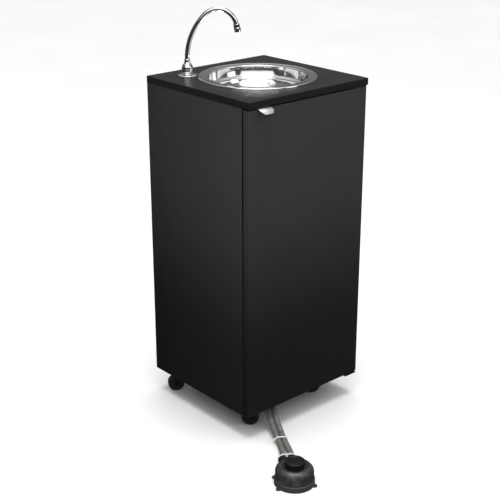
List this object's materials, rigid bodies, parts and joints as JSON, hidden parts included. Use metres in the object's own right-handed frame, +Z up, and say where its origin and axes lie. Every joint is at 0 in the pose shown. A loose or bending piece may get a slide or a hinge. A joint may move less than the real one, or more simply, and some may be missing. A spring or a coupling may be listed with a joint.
{
  "type": "portable handwash sink",
  "caption": "Portable handwash sink: dark cabinet on swivel casters, round inset metal bowl, hooked spout, edge-pull front door, tanks inside and a foot bellows pump on hoses.",
  "frame": {"origin": "centre of the whole object's footprint (cabinet and foot pump together) on the floor", "axes": "+Z up; -Y out of the cabinet's door side; +X to the right when facing the door, towards the door's pivots"},
  "size_m": [0.506, 0.661, 1.0701],
  "materials": {
    "panel_board": "charcoal laminate on board, satin",
    "worktop_board": "charcoal laminate on board, satin",
    "screw_steel": "zinc plated",
    "bowl_steel": "brushed stainless",
    "seal_rubber": "matte",
    "chrome_trim": "polished",
    "white_plastic": "satin",
    "tank_plastic": "translucent natural",
    "fresh_cap_blue": "satin",
    "waste_cap_grey": "satin",
    "clear_hose": "smoky clear vinyl",
    "white_line": "white tube",
    "fitting_black": "satin",
    "zinc_steel": "zinc plated",
    "plate_black": "black, satin",
    "pull_metal": "satin",
    "wheel_rubber": "matte",
    "pump_rubber": "matte, slightly dusty",
    "pump_plastic": "satin",
    "tie_white": "satin",
    "brass_plain": "plain"
  },
  "bodies": {
    "cabinet": {"back_panel": "panel_board", "bottom_panel": "panel_board", "bowl_clips": "zinc_steel", "bowl_seal": "seal_rubber", "caster_plates": "zinc_steel", "dip_tube": "white_plastic", "door_catch": "white_plastic", "drain_gasket": "seal_rubber", "drain_nut": "white_plastic", "drain_strainer": "bowl_steel", "drain_tail": "white_plastic", "elbow_nuts": "fitting_black", "faucet_body": "chrome_trim", "faucet_flange": "chrome_trim", "faucet_nut": "brass_plain", "fresh_cap": "fresh_cap_blue", "fresh_tank": "tank_plastic", "hinge_plates": "plate_black", "hose_clamps": "zinc_steel", "hose_elbows": "fitting_black", "hose_ties": "tie_white", "pressure_hose": "clear_hose", "pump_base": "pump_plastic", "pump_bellows": "pump_rubber", "pump_ring": "pump_plastic", "pump_spring": "screw_steel", "pump_valves": "seal_rubber", "side_panel_left": "panel_board", "side_panel_right": "panel_board", "sink_bowl": "bowl_steel", "suction_hose": "clear_hose", "suction_line": "white_line", "supply_line": "white_line", "top_rails": "panel_board", "waste_cap": "waste_cap_grey", "waste_hose": "white_line", "waste_tank": "tank_plastic", "wood_screws": "screw_steel", "worktop": "worktop_board"},
    "door": {"door_panel": "panel_board", "door_pull": "pull_metal", "pull_screws": "screw_steel", "hinge_bushes": "fitting_black", "catch_plate": "zinc_steel"},
    "spout": {"spout_pipe": "chrome_trim", "spout_collar": "chrome_trim", "aerator": "chrome_trim"},
    "pump_button": {"pump_cap": "pump_rubber"},
    "swivel_front_left": {"caster_fork_front_left": "plate_black", "caster_axle_front_left": "screw_steel"},
    "wheel_front_left": {"caster_wheel_front_left": "wheel_rubber"},
    "swivel_front_right": {"caster_fork_front_right": "plate_black", "caster_axle_front_right": "screw_steel"},
    "wheel_front_right": {"caster_wheel_front_right": "wheel_rubber"},
    "swivel_rear_left": {"caster_fork_rear_left": "plate_black", "caster_axle_rear_left": "screw_steel"},
    "wheel_rear_left": {"caster_wheel_rear_left": "wheel_rubber"},
    "swivel_rear_right": {"caster_fork_rear_right": "plate_black", "caster_axle_rear_right": "screw_steel"},
    "wheel_rear_right": {"caster_wheel_rear_right": "wheel_rubber"}
  },
  "joints": [
    {"name": "door_hinge", "type": "hinge", "parent": "cabinet", "child": "door", "pos_m": [0.242, -0.0535, 0.4], "axis": [0, 0, 1], "range_deg": [0, 105]},
    {"name": "spout_swivel", "type": "hinge", "parent": "cabinet", "child": "spout", "pos_m": [-0.071, 0.2645, 0.92], "axis": [0, 0, 1], "range_deg": [-90, 90]},
    {"name": "pump_press", "type": "slide", "parent": "cabinet", "child": "pump_button", "axis": [0, 0, -1], "range_m": [0, 0.022], "stiffness_N_per_m": 2700, "springref_m": -0.004, "deforming": ["pump_bellows", "pump_spring"]},
    {"name": "caster_swivel_front_left", "type": "hinge", "parent": "cabinet", "child": "swivel_front_left", "pos_m": [-0.103, 0.0145, 0.05], "axis": [0, 0, 1], "continuous": true},
    {"name": "wheel_roll_front_left", "type": "hinge", "parent": "swivel_front_left", "child": "wheel_front_left", "pos_m": [-0.08962, 0.00246, 0.0235], "axis": [0.6691, 0.7431, 0], "continuous": true},
    {"name": "caster_swivel_front_right", "type": "hinge", "parent": "cabinet", "child": "swivel_front_right", "pos_m": [0.176, 0.0145, 0.05], "axis": [0, 0, 1], "continuous": true},
    {"name": "wheel_roll_front_right", "type": "hinge", "parent": "swivel_front_right", "child": "wheel_front_right", "pos_m": [0.15909, 0.02066, 0.0235], "axis": [-0.342, -0.9397, 0], "continuous": true},
    {"name": "caster_swivel_rear_left", "type": "hinge", "parent": "cabinet", "child": "swivel_rear_left", "pos_m": [-0.103, 0.2755, 0.05], "axis": [0, 0, 1], "continuous": true},
    {"name": "wheel_roll_rear_left", "type": "hinge", "parent": "swivel_rear_left", "child": "wheel_rear_left", "pos_m": [-0.11859, 0.2845, 0.0235], "axis": [-0.5, -0.866, 0], "continuous": true},
    {"name": "caster_swivel_rear_right", "type": "hinge", "parent": "cabinet", "child": "swivel_rear_right", "pos_m": [0.176, 0.2755, 0.05], "axis": [0, 0, 1], "continuous": true},
    {"name": "wheel_roll_rear_right", "type": "hinge", "parent": "swivel_rear_right", "child": "wheel_rear_right", "pos_m": [0.15969, 0.26789, 0.0235], "axis": [0.4226, -0.9063, 0], "continuous": true}
  ]
}
